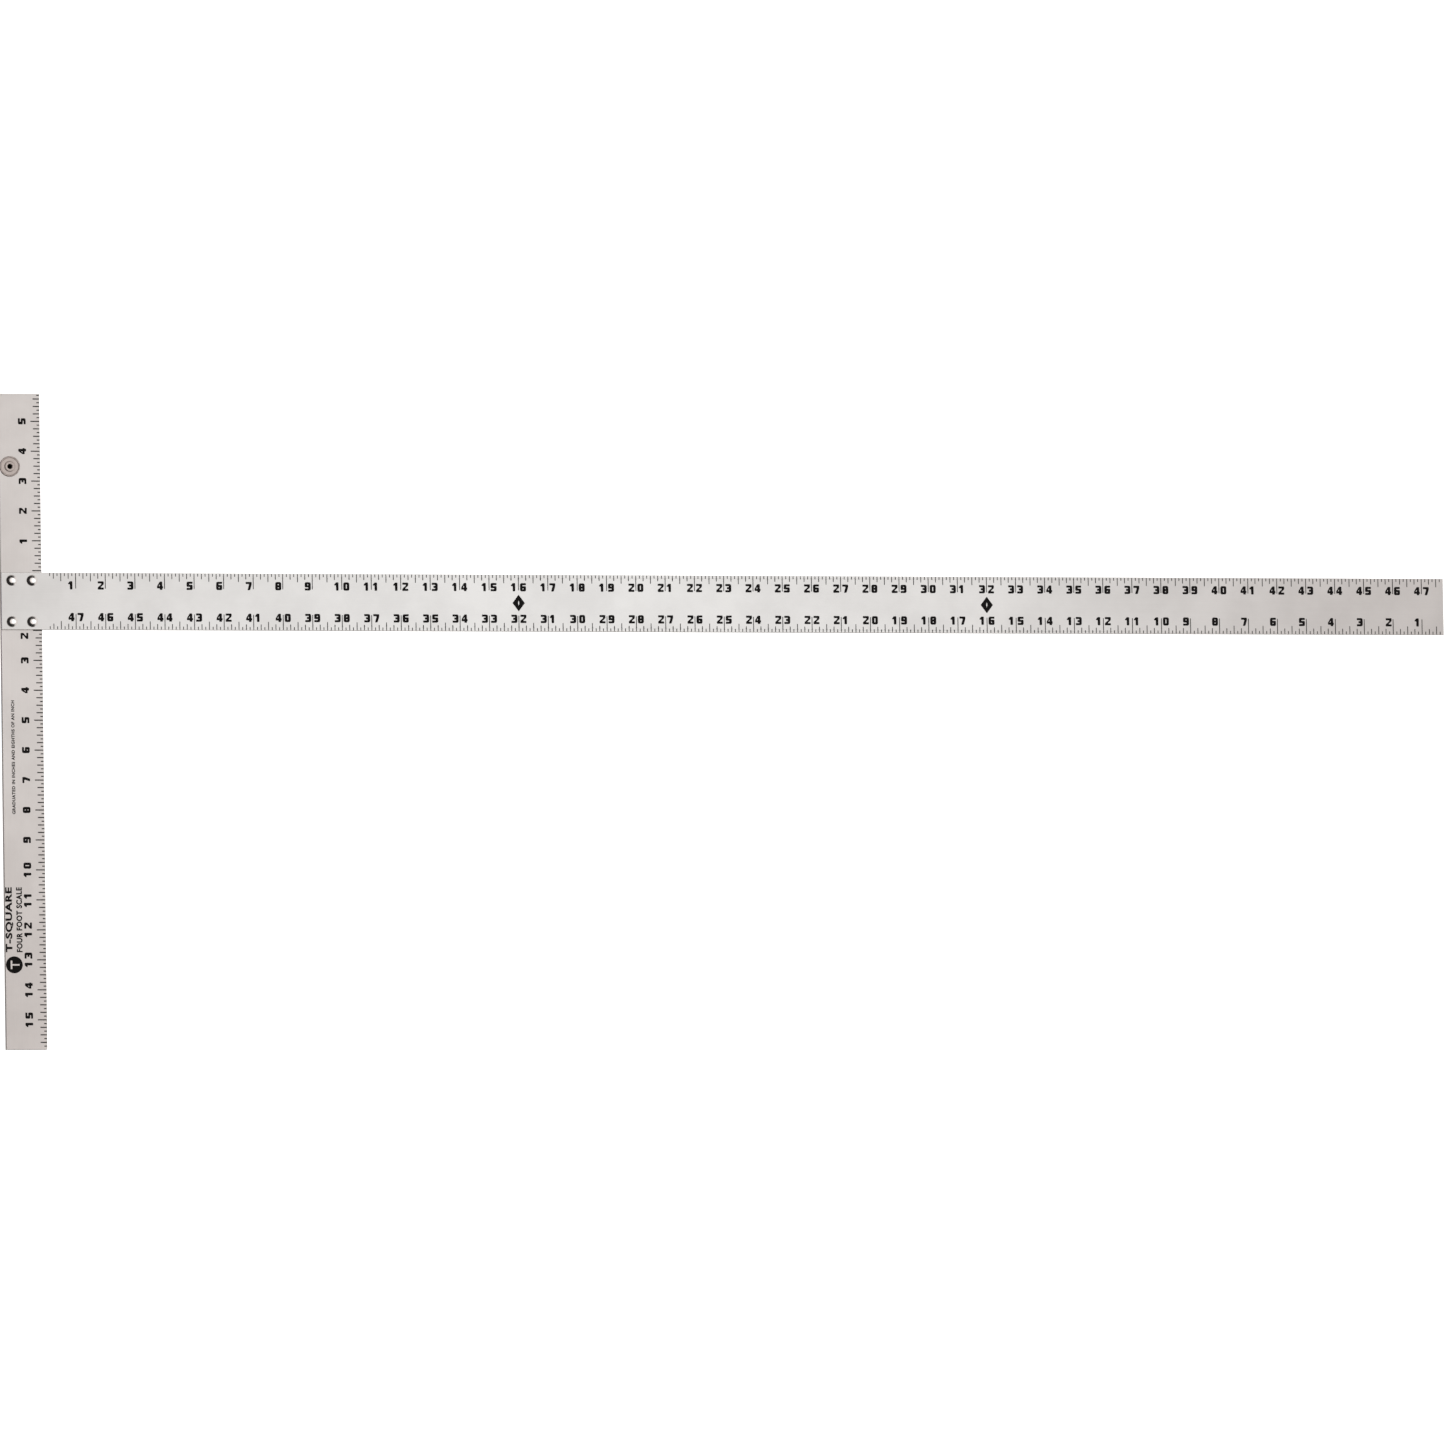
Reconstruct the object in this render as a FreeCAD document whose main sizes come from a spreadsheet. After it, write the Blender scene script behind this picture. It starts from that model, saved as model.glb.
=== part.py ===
import FreeCAD, Part
import os

import Sketcher

# A long layout square for sheet material: a graduated aluminium blade riveted on
# top of an aluminium cross head.
#
# Frame: the origin is on the head's resting face, where the centrelines of head and
# blade cross.  +X runs along the blade to its free end, +Y along the head's short arm
# and +Z up through the blade.  All sizes are in millimetres.

os.makedirs("parts", exist_ok=True)
doc = FreeCAD.newDocument("layout_square")

# ---------------------------------------------------------------- driving dimensions

DIMENSIONS = {
    "inch": 25.4,
    # blade: a flat bar that reaches 47 7/8 inches past the head
    "blade_width": 48.26,
    "blade_thickness": 3.175,
    "blade_reach": 1216.0,
    # head: a thicker flat bar with a short and a long arm
    "head_width": 34.925,
    "head_thickness": 6.35,
    "head_length": 556.4,
    "head_short_arm": 176.6,
    # both bars have their long edges broken
    "edge_break": 0.3,
    # rivets: low truss heads over the blade, tails countersunk under the head
    "rivet_pitch_along": 17.4,
    "rivet_pitch_across": 35.0,
    "rivet_shank_radius": 2.4,
    "rivet_head_radius": 4.75,
    "rivet_rim": 0.35,
    "rivet_dome": 1.4,
    "rivet_flare": 1.2,
    "tail_recess": 0.1,
    # hanging hole: an eyelet pressed into the head's short arm
    "eyelet_from_blade": 90.5,
    "eyelet_radius": 8.7,
    "eyelet_barrel_radius": 3.2,
    "eyelet_bore_radius": 2.1,
    "eyelet_collar_radius": 3.9,
    "eyelet_dish_inner": 4.7,
    "eyelet_dish_outer": 7.2,
    "eyelet_web": 0.45,
    "eyelet_rim": 0.95,
    "eyelet_round": 0.4,
    "eyelet_flare": 1.2,
    # printed scales
    "ink_thickness": 0.05,
    "divisions_per_inch": 8,
    "blade_zero_from_head": 3.175,
    "blade_tick_width": 0.65,
    "blade_tick_eighth": 2.8,
    "blade_tick_quarter": 5.0,
    "blade_tick_half": 7.2,
    "blade_tick_inch": 13.3,
    "head_zero_from_blade": 2.0,
    "head_tick_width": 0.9,
    "head_tick_eighth": 2.6,
    "head_tick_half": 5.8,
    "head_tick_inch": 7.9,
    # printed numerals
    "numeral_stroke": 1.7,
    "blade_numeral_height": 7.1,
    "blade_numeral_width": 5.2,
    "blade_numeral_margin": 7.1,
    "blade_numeral_offset": 3.9,
    "head_numeral_height": 6.6,
    "head_numeral_width": 5.2,
    "head_numeral_margin": 12.0,
    "head_numeral_offset": 3.6,
    # printed stud marks, 16 inches apart
    "stud_spacing": 406.4,
    "stud_mark_width": 10.7,
    "stud_mark_height": 14.3,
    "stud_mark_hole_width": 1.1,
    "stud_mark_hole_height": 4.4,
    # printed panel on the head's long arm: a round badge, two lines of print and a fine note
    "panel_from_outer_edge": 0.3,
    "panel_badge_diameter": 14.4,
    "panel_badge_from_blade": 277.0,
    "panel_line_length": 55.0,
    "panel_line_from_blade": 218.5,
    "panel_title_height": 6.8,
    "panel_subtitle_height": 5.0,
    "panel_note_length": 96.5,
    "panel_note_from_blade": 60.0,
    "panel_note_height": 2.8,
}

sheet = doc.addObject("Spreadsheet::Sheet", "sizes")
for row, (alias, value) in enumerate(DIMENSIONS.items(), start=1):
    sheet.set(f"A{row}", alias.replace("_", " "))
    sheet.set(f"B{row}", str(value))
    sheet.setAlias(f"B{row}", alias)
doc.recompute()


def value(expression):
    """The number that an expression in the sheet's terms gives."""
    return float(sheet.evalExpression(expression))


# ------------------------------------------------------------------- sketching helpers

ORIGIN = (-1, 1)
AXIS_ACROSS = -1
AXIS_UP = -2


def new_body(label, x="0", y="0", z="0"):
    """A body whose placement follows one expression per axis."""
    body = doc.addObject("PartDesign::Body", label)
    body.Label = label
    for axis, expression in zip("xyz", (x, y, z)):
        body.setExpression(f"Placement.Base.{axis}", expression)
    return body


def new_sketch(body, name, plane):
    """A sketch on one of the body's own origin planes."""
    sketch = body.newObject("Sketcher::SketchObject", f"{body.Label}_{name}")
    for feature in body.Origin.OriginFeatures:
        if feature.Role == plane:
            sketch.AttachmentSupport = [(feature, "")]
    sketch.MapMode = "FlatFace"
    return sketch


def pin_point(sketch, point, across, up):
    """Hold a sketch point where two expressions say, measured from the origin.

    An expression that starts with a minus puts the point on the negative side, and
    the expression "0" puts it on the axis.
    """
    for kind, axis, place in (("DistanceX", AXIS_UP, across), ("DistanceY", AXIS_ACROSS, up)):
        if place == "0":
            sketch.addConstraint(Sketcher.Constraint("PointOnObject", *point, axis))
            continue
        ends = (*point, *ORIGIN) if place.startswith("-") else (*ORIGIN, *point)
        distance = place.lstrip("-")
        index = sketch.addConstraint(Sketcher.Constraint(kind, *ends, value(distance)))
        sketch.setExpression(f"Constraints[{index}]", distance)


def start_point(across, up):
    """Where a sketch point is drawn before its constraints hold it."""
    return FreeCAD.Vector(value(across), value(up), 0)


def draw_outline(sketch, corners):
    """A closed run of straight lines through corners, each a pair of expressions."""
    points = [start_point(*corner) for corner in corners]
    for index, point in enumerate(points):
        sketch.addGeometry(Part.LineSegment(point, points[(index + 1) % len(points)]))
    for index, corner in enumerate(corners):
        following = (index + 1) % len(corners)
        sketch.addConstraint(Sketcher.Constraint("Coincident", index, 2, following, 1))
        pin_point(sketch, (index, 1), *corner)


def draw_circles(sketch, centres, radius):
    """Equal circles round centres, each a pair of expressions."""
    for across, up in centres:
        circle = Part.Circle(start_point(across, up), FreeCAD.Vector(0, 0, 1), value(radius))
        curve = sketch.addGeometry(circle)
        pin_point(sketch, (curve, 3), across, up)
        index = sketch.addConstraint(Sketcher.Constraint("Radius", curve, value(radius)))
        sketch.setExpression(f"Constraints[{index}]", radius)


def pad_outline(body, name, corners, thickness):
    """A plate: an outline on the body's XY plane, thickened upwards."""
    sketch = new_sketch(body, f"{name}_outline", "XY_Plane")
    draw_outline(sketch, corners)
    pad = body.newObject("PartDesign::Pad", f"{body.Label}_{name}")
    pad.Profile = sketch
    pad.setExpression("Length", thickness)
    doc.recompute()
    return pad


def drill(body, name, centres, radius):
    """Round holes right through a plate, from its XY plane upwards."""
    sketch = new_sketch(body, f"{name}_circles", "XY_Plane")
    draw_circles(sketch, centres, radius)
    before = body.Tip.Shape.Volume
    pocket = body.newObject("PartDesign::Pocket", f"{body.Label}_{name}")
    pocket.Profile = sketch
    pocket.Type = "ThroughAll"
    pocket.Reversed = True
    doc.recompute()
    assert pocket.Shape.Volume < before, f"{pocket.Label} cuts nothing"


def chamfer(body, name, wanted, width):
    """Break the edges of the body's tip that wanted(edge) picks out."""
    base = body.Tip
    edges = [f"Edge{i}" for i, edge in enumerate(base.Shape.Edges, start=1) if wanted(edge)]
    assert edges, f"no edges for {name}"
    feature = body.newObject("PartDesign::Chamfer", f"{body.Label}_{name}")
    feature.Base = (base, edges)
    feature.setExpression("Size", width)
    doc.recompute()


def is_straight_along(direction):
    """A test for straight edges along "x" or "y"."""
    def wanted(edge):
        if not isinstance(edge.Curve, Part.Line):
            return False
        along = edge.Vertexes[1].Point - edge.Vertexes[0].Point
        return abs(getattr(along, direction)) > 0.999 * along.Length
    return wanted


def is_bottom_rim(radius):
    """A test for round edges of one radius in the plate's bottom face."""
    def wanted(edge):
        if not isinstance(edge.Curve, Part.Circle):
            return False
        at_bottom = abs(edge.BoundBox.ZMax) < 1e-6
        return at_bottom and abs(edge.Curve.Radius - value(radius)) < 1e-6
    return wanted


# ------------------------------------------------------------------------------- bars

HALF_HEAD = "sizes.head_width / 2"
HALF_BLADE = "sizes.blade_width / 2"
HEAD_LONG_ARM = "(sizes.head_length - sizes.head_short_arm)"
RIVET_HALF_PITCH = "sizes.rivet_pitch_along / 2"
RIVET_HALF_SPAN = "sizes.rivet_pitch_across / 2"


def make_blade():
    """The graduated bar.  Its body starts at the head's outer edge, on the centreline."""
    body = new_body("blade", x=f"-{HALF_HEAD}", z="sizes.head_thickness")
    length = "sizes.head_width + sizes.blade_reach"
    outline = [
        ("0", f"-{HALF_BLADE}"),
        (length, f"-{HALF_BLADE}"),
        (length, HALF_BLADE),
        ("0", HALF_BLADE),
    ]
    pad_outline(body, "bar", outline, "sizes.blade_thickness")
    chamfer(body, "broken_edges", is_straight_along("x"), "sizes.edge_break")
    rivet_columns = [f"{HALF_HEAD} - {RIVET_HALF_PITCH}", f"{HALF_HEAD} + {RIVET_HALF_PITCH}"]
    rivet_rows = [RIVET_HALF_SPAN, f"-{RIVET_HALF_SPAN}"]
    centres = [(column, up) for column in rivet_columns for up in rivet_rows]
    drill(body, "rivet_holes", centres, "sizes.rivet_shank_radius")
    return body


def make_head():
    """The cross bar.  Its body starts at the end of the long arm, on the centreline."""
    body = new_body("head", y=f"-{HEAD_LONG_ARM}")
    outline = [
        (f"-{HALF_HEAD}", "0"),
        (HALF_HEAD, "0"),
        (HALF_HEAD, "sizes.head_length"),
        (f"-{HALF_HEAD}", "sizes.head_length"),
    ]
    pad_outline(body, "bar", outline, "sizes.head_thickness")
    chamfer(body, "broken_edges", is_straight_along("y"), "sizes.edge_break")
    rivet_rows = [f"{HEAD_LONG_ARM} - {RIVET_HALF_SPAN}", f"{HEAD_LONG_ARM} + {RIVET_HALF_SPAN}"]
    centres = [(side + RIVET_HALF_PITCH, up) for side in ("", "-") for up in rivet_rows]
    drill(body, "rivet_holes", centres, "sizes.rivet_shank_radius")
    rim = is_bottom_rim("sizes.rivet_shank_radius")
    chamfer(body, "rivet_countersinks", rim, "sizes.rivet_flare")
    eyelet_up = f"{HEAD_LONG_ARM} + {HALF_BLADE} + sizes.eyelet_from_blade"
    drill(body, "eyelet_hole", [(f"-{RIVET_HALF_PITCH}", eyelet_up)], "sizes.eyelet_barrel_radius")
    rim = is_bottom_rim("sizes.eyelet_barrel_radius")
    chamfer(body, "eyelet_countersink", rim, "sizes.eyelet_flare")
    return body


# -------------------------------------------------------------------------- fasteners


def revolve(body, sketch):
    """Turn a half section in the XZ plane once round the body's own Z axis."""
    feature = body.newObject("PartDesign::Revolution", f"{body.Label}_turned")
    feature.Profile = sketch
    feature.ReferenceAxis = (sketch, ["V_Axis"])
    feature.Angle = 360
    doc.recompute()


def make_rivet(label, x, y):
    """A solid rivet.  Its body starts at the tail, just inside the countersink."""
    body = new_body(label, x=x, y=y, z="sizes.tail_recess")
    grip = "sizes.head_thickness + sizes.blade_thickness - sizes.tail_recess"
    flare = "sizes.rivet_flare - sizes.tail_recess"
    corners = [
        ("0", f"{grip} + sizes.rivet_dome"),
        ("0", "0"),
        (f"sizes.rivet_shank_radius + {flare}", "0"),
        ("sizes.rivet_shank_radius", flare),
        ("sizes.rivet_shank_radius", grip),
        ("sizes.rivet_head_radius", grip),
        ("sizes.rivet_head_radius", f"{grip} + sizes.rivet_rim"),
    ]
    sketch = new_sketch(body, "half_section", "XZ_Plane")
    points = [start_point(*corner) for corner in corners]
    for start, end in zip(points, points[1:]):
        sketch.addGeometry(Part.LineSegment(start, end))
    crown, rim = points[0], points[-1]
    rise = crown.y - rim.y
    radius = (rim.x ** 2 + rise ** 2) / (2 * rise)
    centre = FreeCAD.Vector(0, crown.y - radius, 0)
    slant = (crown + rim) * 0.5 - centre
    middle = centre + slant.normalize() * radius
    dome = sketch.addGeometry(Part.Arc(rim, middle, crown))
    last_line = dome - 1
    for index in range(last_line):
        sketch.addConstraint(Sketcher.Constraint("Coincident", index, 2, index + 1, 1))
    for index, corner in enumerate(corners[:-1]):
        pin_point(sketch, (index, 1), *corner)
    pin_point(sketch, (last_line, 2), *corners[-1])
    sketch.addConstraint(Sketcher.Constraint("Coincident", last_line, 2, dome, 1))
    sketch.addConstraint(Sketcher.Constraint("Coincident", dome, 2, 0, 1))
    sketch.addConstraint(Sketcher.Constraint("PointOnObject", dome, 3, AXIS_UP))
    revolve(body, sketch)
    return body


def make_rivets():
    """Four rivets: two columns on the head, two rows on the blade."""
    rivets = []
    for column, x in (("outer", f"-{RIVET_HALF_PITCH}"), ("inner", RIVET_HALF_PITCH)):
        for row, y in (("upper", RIVET_HALF_SPAN), ("lower", f"-{RIVET_HALF_SPAN}")):
            rivets.append(make_rivet(f"rivet_{column}_{row}", x, y))
    return rivets


def make_eyelet():
    """The hanging hole's liner: a dished flange over the head and a flared barrel."""
    up = f"{HALF_BLADE} + sizes.eyelet_from_blade"
    body = new_body("hang_eyelet", x=f"-{RIVET_HALF_PITCH}", y=up, z="sizes.tail_recess")
    top = "sizes.head_thickness - sizes.tail_recess"
    flare = "sizes.eyelet_flare - sizes.tail_recess"
    web = f"{top} + sizes.eyelet_web"
    rim = f"{top} + sizes.eyelet_rim"
    corners = [
        ("sizes.eyelet_bore_radius", "0"),
        (f"sizes.eyelet_barrel_radius + {flare}", "0"),
        ("sizes.eyelet_barrel_radius", flare),
        ("sizes.eyelet_barrel_radius", top),
        ("sizes.eyelet_radius", top),
        ("sizes.eyelet_radius", f"{rim} - sizes.eyelet_round"),
        ("sizes.eyelet_radius - sizes.eyelet_round", rim),
        ("sizes.eyelet_dish_outer + sizes.eyelet_round", rim),
        ("sizes.eyelet_dish_outer", web),
        ("sizes.eyelet_dish_inner", web),
        ("sizes.eyelet_collar_radius", rim),
        ("sizes.eyelet_bore_radius + sizes.eyelet_round", rim),
        ("sizes.eyelet_bore_radius", f"{rim} - sizes.eyelet_round"),
    ]
    sketch = new_sketch(body, "half_section", "XZ_Plane")
    draw_outline(sketch, corners)
    revolve(body, sketch)
    return body


# ------------------------------------------------------------------------------- ink
#
# Print is modelled as thin solids on the bars' top faces.  They are hundreds of
# repeated marks, so they are shapes made in loops from the sheet's values.

EIGHTHS = int(value("sizes.divisions_per_inch"))
INCH = value("sizes.inch")
INK = value("sizes.ink_thickness")
BLADE_TOP = value("sizes.head_thickness + sizes.blade_thickness")
HEAD_TOP = value("sizes.head_thickness")
BLADE_EDGE = value(HALF_BLADE)
WORKING_EDGE = value(HALF_HEAD)
EDGE_BREAK = value("sizes.edge_break")
BLADE_ZERO = WORKING_EDGE + value("sizes.blade_zero_from_head")
BLADE_END = WORKING_EDGE + value("sizes.blade_reach")
HEAD_ZERO = BLADE_EDGE + value("sizes.head_zero_from_blade")
HEAD_TOP_END = value("sizes.head_short_arm")
HEAD_LOWER_END = -value(HEAD_LONG_ARM)

# A numeral is made of straight strokes in a box one unit wide and one unit high.
STROKES = {
    "top": ((0, 1), (1, 1)),
    "middle": ((0, 0.5), (1, 0.5)),
    "bottom": ((0, 0), (1, 0)),
    "left_high": ((0, 0.5), (0, 1)),
    "left_low": ((0, 0), (0, 0.5)),
    "right_high": ((1, 0.5), (1, 1)),
    "right_low": ((1, 0), (1, 0.5)),
    "stem": ((0.6, 0), (0.6, 1)),
    "flag": ((0.2, 1), (0.6, 1)),
}
NUMERALS = {
    "0": ("top", "bottom", "left_high", "left_low", "right_high", "right_low"),
    "1": ("stem", "flag"),
    "2": ("top", "right_high", "middle", "left_low", "bottom"),
    "3": ("top", "right_high", "middle", "right_low", "bottom"),
    "4": ("left_high", "middle", "right_high", "right_low"),
    "5": ("top", "left_high", "middle", "right_low", "bottom"),
    "6": ("top", "left_high", "left_low", "middle", "right_low", "bottom"),
    "7": ("top", "right_high", "right_low"),
    "8": ("top", "middle", "bottom", "left_high", "left_low", "right_high", "right_low"),
    "9": ("top", "middle", "bottom", "left_high", "right_high", "right_low"),
}


def ink_block(low, high, surface):
    """One block of ink between two corners (x, y) on a surface at height z."""
    corner = FreeCAD.Vector(min(low[0], high[0]), min(low[1], high[1]), surface)
    return Part.makeBox(abs(high[0] - low[0]), abs(high[1] - low[1]), INK, corner)


def make_ink(label, solids):
    """A printed layer: one node holding many separate thin solids."""
    layer = doc.addObject("Part::Feature", label)
    layer.Label = label
    layer.Shape = Part.makeCompound(solids)
    layer.Placement = FreeCAD.Placement()
    return layer


def numeral_glyph(digit, width, height):
    """One digit centred on the origin at height 0, reading along +X."""
    stroke = value("sizes.numeral_stroke")
    reach = stroke / 2
    blocks = []
    for name in NUMERALS[digit]:
        start, end = STROKES[name]
        xs = [(point[0] - 0.5) * (width - stroke) for point in (start, end)]
        ys = [(point[1] - 0.5) * (height - stroke) for point in (start, end)]
        low = (min(xs) - reach, min(ys) - reach)
        blocks.append(ink_block(low, (max(xs) + reach, max(ys) + reach), 0))
    return blocks[0].multiFuse(blocks[1:]).removeSplitter().Solids[0]


def glyph_set(size_name):
    """All ten digits in the size of one bar's numerals."""
    width = value(f"sizes.{size_name}_numeral_width")
    height = value(f"sizes.{size_name}_numeral_height")
    return {digit: numeral_glyph(digit, width, height) for digit in NUMERALS}


def placed(glyph, x, y, surface, quarter_turns=0):
    """A copy of a glyph, turned and moved onto a surface."""
    turn = FreeCAD.Rotation(FreeCAD.Vector(0, 0, 1), 90 * quarter_turns)
    copy = glyph.copy()
    copy.Placement = FreeCAD.Placement(FreeCAD.Vector(x, y, surface), turn)
    return copy


def tick_kind(step):
    """Which tick an eighth-inch step has: inch, half, quarter or eighth."""
    for kind, divisions in (("inch", 1), ("half", 2), ("quarter", 4)):
        if step * divisions % EIGHTHS == 0:
            return kind
    return "eighth"


def make_blade_ticks(label, side):
    """Ticks along one long edge of the blade: side is 1 for the upper edge, -1 lower."""
    half = value("sizes.blade_tick_width") / 2
    edge = side * (BLADE_EDGE - EDGE_BREAK)
    steps = int((BLADE_END - BLADE_ZERO) / INCH * EIGHTHS)
    ticks = []
    for step in range(1, steps + 1):
        x = BLADE_ZERO + step * INCH / EIGHTHS
        length = value(f"sizes.blade_tick_{tick_kind(step)}")
        inner = side * (BLADE_EDGE - length)
        ticks.append(ink_block((x - half, edge), (x + half, inner), BLADE_TOP))
    return make_ink(label, ticks)


def make_blade_numerals(label, side, first, last, step_sign):
    """Numbers along one edge of the blade, at every inch from the head outwards.

    The first digit stands left of its inch tick and the second right of it.
    """
    glyphs = glyph_set("blade")
    inset = value("sizes.blade_numeral_margin + sizes.blade_numeral_height / 2")
    offset = value("sizes.blade_numeral_offset")
    solids = []
    for inches, number in enumerate(range(first, last + step_sign, step_sign), start=1):
        x = BLADE_ZERO + inches * INCH
        for digit, place in zip(str(number), (x - offset, x + offset)):
            solids.append(placed(glyphs[digit], place, side * (BLADE_EDGE - inset), BLADE_TOP))
    return make_ink(label, solids)


def head_steps():
    """Each eighth-inch step on the head that the blade doesn't cover, with its y."""
    upper = int((HEAD_TOP_END - HEAD_ZERO) / INCH * EIGHTHS)
    lower = int((HEAD_ZERO - HEAD_LOWER_END) / INCH * EIGHTHS)
    half = value("sizes.head_tick_width") / 2
    for step in range(-lower, upper + 1):
        y = HEAD_ZERO + step * INCH / EIGHTHS
        if abs(y) > BLADE_EDGE + half and y + half < HEAD_TOP_END and y - half > HEAD_LOWER_END:
            yield step, y


def make_head_ticks():
    """Ticks along the head's working edge, on both arms."""
    half = value("sizes.head_tick_width") / 2
    ticks = []
    for step, y in head_steps():
        kind = tick_kind(step).replace("quarter", "half")
        inner = WORKING_EDGE - value(f"sizes.head_tick_{kind}")
        ticks.append(ink_block((inner, y - half), (WORKING_EDGE - EDGE_BREAK, y + half), HEAD_TOP))
    return make_ink("head_ticks", ticks)


def make_head_numerals():
    """Numbers along the head, counted both ways from the blade's upper edge.

    They read towards the short arm's end.  A number too close to the blade is moved
    off it.
    """
    glyphs = glyph_set("head")
    height = value("sizes.head_numeral_height")
    width = value("sizes.head_numeral_width")
    x = WORKING_EDGE - value("sizes.head_numeral_margin") - height / 2
    offset = value("sizes.head_numeral_offset")
    solids = []
    for step, tick_y in head_steps():
        if tick_kind(step) != "inch" or step == 0:
            continue
        digits = str(abs(step) // EIGHTHS)
        y = tick_y
        if abs(y) < BLADE_EDGE + width:
            y = -(BLADE_EDGE + width)
        places = [y] if len(digits) == 1 else [y - offset, y + offset]
        for digit, place in zip(digits, places):
            solids.append(placed(glyphs[digit], x, place, HEAD_TOP, quarter_turns=1))
    return make_ink("head_numerals", solids)


def diamond(x, half_width, half_height):
    """A diamond-shaped face on the blade's centreline."""
    tips = [(x - half_width, 0), (x, -half_height), (x + half_width, 0), (x, half_height)]
    points = [FreeCAD.Vector(*tip, BLADE_TOP) for tip in tips]
    return Part.Face(Part.makePolygon(points + points[:1]))


def make_stud_marks():
    """Hollow diamonds on the blade at every stud, 16 inches apart."""
    half_width = value("sizes.stud_mark_width / 2")
    half_height = value("sizes.stud_mark_height / 2")
    hole_half_width = value("sizes.stud_mark_hole_width / 2")
    hole_half_height = value("sizes.stud_mark_hole_height / 2")
    spacing = value("sizes.stud_spacing")
    studs = int((BLADE_END - BLADE_ZERO) / spacing)
    solids = []
    for stud in range(1, studs + 1):
        x = BLADE_ZERO + stud * spacing
        outline = diamond(x, half_width, half_height)
        ring = outline.cut(diamond(x, hole_half_width, hole_half_height))
        solids.extend(ring.extrude(FreeCAD.Vector(0, 0, INK)).Solids)
    return make_ink("stud_marks", solids)


def make_printed_panel():
    """The print on the head's outer half: a badge, and a block for each line of print."""
    outer = value("sizes.panel_from_outer_edge") - WORKING_EDGE
    badge_radius = value("sizes.panel_badge_diameter / 2")
    badge_y = -BLADE_EDGE - value("sizes.panel_badge_from_blade") - badge_radius
    badge_centre = FreeCAD.Vector(outer + badge_radius, badge_y, HEAD_TOP)
    inner = outer + 2 * badge_radius
    title_inner = outer + value("sizes.panel_title_height")
    subtitle_outer = inner - value("sizes.panel_subtitle_height")
    note_middle = -value(RIVET_HALF_PITCH)
    note_half = value("sizes.panel_note_height") / 2
    marks = [Part.makeCylinder(badge_radius, INK, badge_centre)]
    for low_x, high_x, from_blade, length in (
        (outer, title_inner, "panel_line_from_blade", "panel_line_length"),
        (subtitle_outer, inner, "panel_line_from_blade", "panel_line_length"),
        (note_middle - note_half, note_middle + note_half, "panel_note_from_blade", "panel_note_length"),
    ):
        top = -BLADE_EDGE - value(f"sizes.{from_blade}")
        bottom = top - value(f"sizes.{length}")
        marks.append(ink_block((low_x, bottom), (high_x, top), HEAD_TOP))
    return make_ink("printed_panel", marks)


# ------------------------------------------------------------------------ build, check

WHOLE_INCHES = int((BLADE_END - BLADE_ZERO) / INCH)

subparts = [
    make_blade(),
    make_head(),
    *make_rivets(),
    make_eyelet(),
    make_blade_ticks("blade_ticks_upper", 1),
    make_blade_ticks("blade_ticks_lower", -1),
    make_blade_numerals("blade_numerals_upper", 1, 1, WHOLE_INCHES, 1),
    make_blade_numerals("blade_numerals_lower", -1, WHOLE_INCHES, 1, -1),
    make_head_ticks(),
    make_head_numerals(),
    make_stud_marks(),
    make_printed_panel(),
]
doc.recompute()

for item in doc.Objects:
    faults = [state for state in item.State if state in ("Invalid", "Error")]
    assert not faults, f"{item.Label}: {faults}"
for subpart in subparts:
    shape = subpart.Shape
    assert not shape.isNull() and shape.isValid(), f"{subpart.Label} has no valid shape"
    shape.exportStep(f"parts/{subpart.Label}.step")
    box = shape.BoundBox
    print(f"{subpart.Label}: {len(shape.Solids)} solids, {shape.Volume:.1f} mm3,"
          f" x {box.XMin:.2f}..{box.XMax:.2f}, y {box.YMin:.2f}..{box.YMax:.2f},"
          f" z {box.ZMin:.2f}..{box.ZMax:.2f}")
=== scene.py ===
# %% [markdown]
# # A long layout square for sheet material
#
# This lesson dresses a finished mechanical design: a graduated aluminium blade, four
# feet long, riveted on top of a thicker cross head.  The design already holds every
# bar, rivet and printed mark at its true size, so Blender's work is the surface: the
# drawn grain of the aluminium, the polish of the rivets, the shape of the printed
# numerals and the light that they are seen in.

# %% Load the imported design
import math

import bmesh
import bpy
from mathutils import Euler, Matrix, Vector


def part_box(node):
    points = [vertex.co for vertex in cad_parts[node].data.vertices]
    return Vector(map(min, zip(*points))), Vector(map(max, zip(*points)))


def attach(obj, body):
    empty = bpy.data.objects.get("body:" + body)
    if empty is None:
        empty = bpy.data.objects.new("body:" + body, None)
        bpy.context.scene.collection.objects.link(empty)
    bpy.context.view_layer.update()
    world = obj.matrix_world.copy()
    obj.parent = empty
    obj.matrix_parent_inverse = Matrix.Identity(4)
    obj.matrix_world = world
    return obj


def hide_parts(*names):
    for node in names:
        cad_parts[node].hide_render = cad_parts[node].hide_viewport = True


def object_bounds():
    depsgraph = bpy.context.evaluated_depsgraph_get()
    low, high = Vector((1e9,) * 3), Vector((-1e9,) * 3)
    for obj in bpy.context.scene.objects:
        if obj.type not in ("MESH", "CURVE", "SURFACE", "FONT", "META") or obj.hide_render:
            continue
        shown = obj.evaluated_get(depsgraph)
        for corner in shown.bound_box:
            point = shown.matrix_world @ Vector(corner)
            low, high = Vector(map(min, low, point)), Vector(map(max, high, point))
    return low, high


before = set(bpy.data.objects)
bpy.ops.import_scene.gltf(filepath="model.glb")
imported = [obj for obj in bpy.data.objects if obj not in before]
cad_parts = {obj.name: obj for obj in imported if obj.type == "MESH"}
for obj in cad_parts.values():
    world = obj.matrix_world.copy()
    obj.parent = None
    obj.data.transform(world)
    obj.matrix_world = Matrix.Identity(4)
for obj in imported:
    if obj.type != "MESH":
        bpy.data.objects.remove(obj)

MM = 0.001
INCH = 25.4 * MM
UP = Vector((0, 0, 1))
cad_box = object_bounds()
print("design box in metres:", [[round(v, 4) for v in corner] for corner in cad_box])

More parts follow.
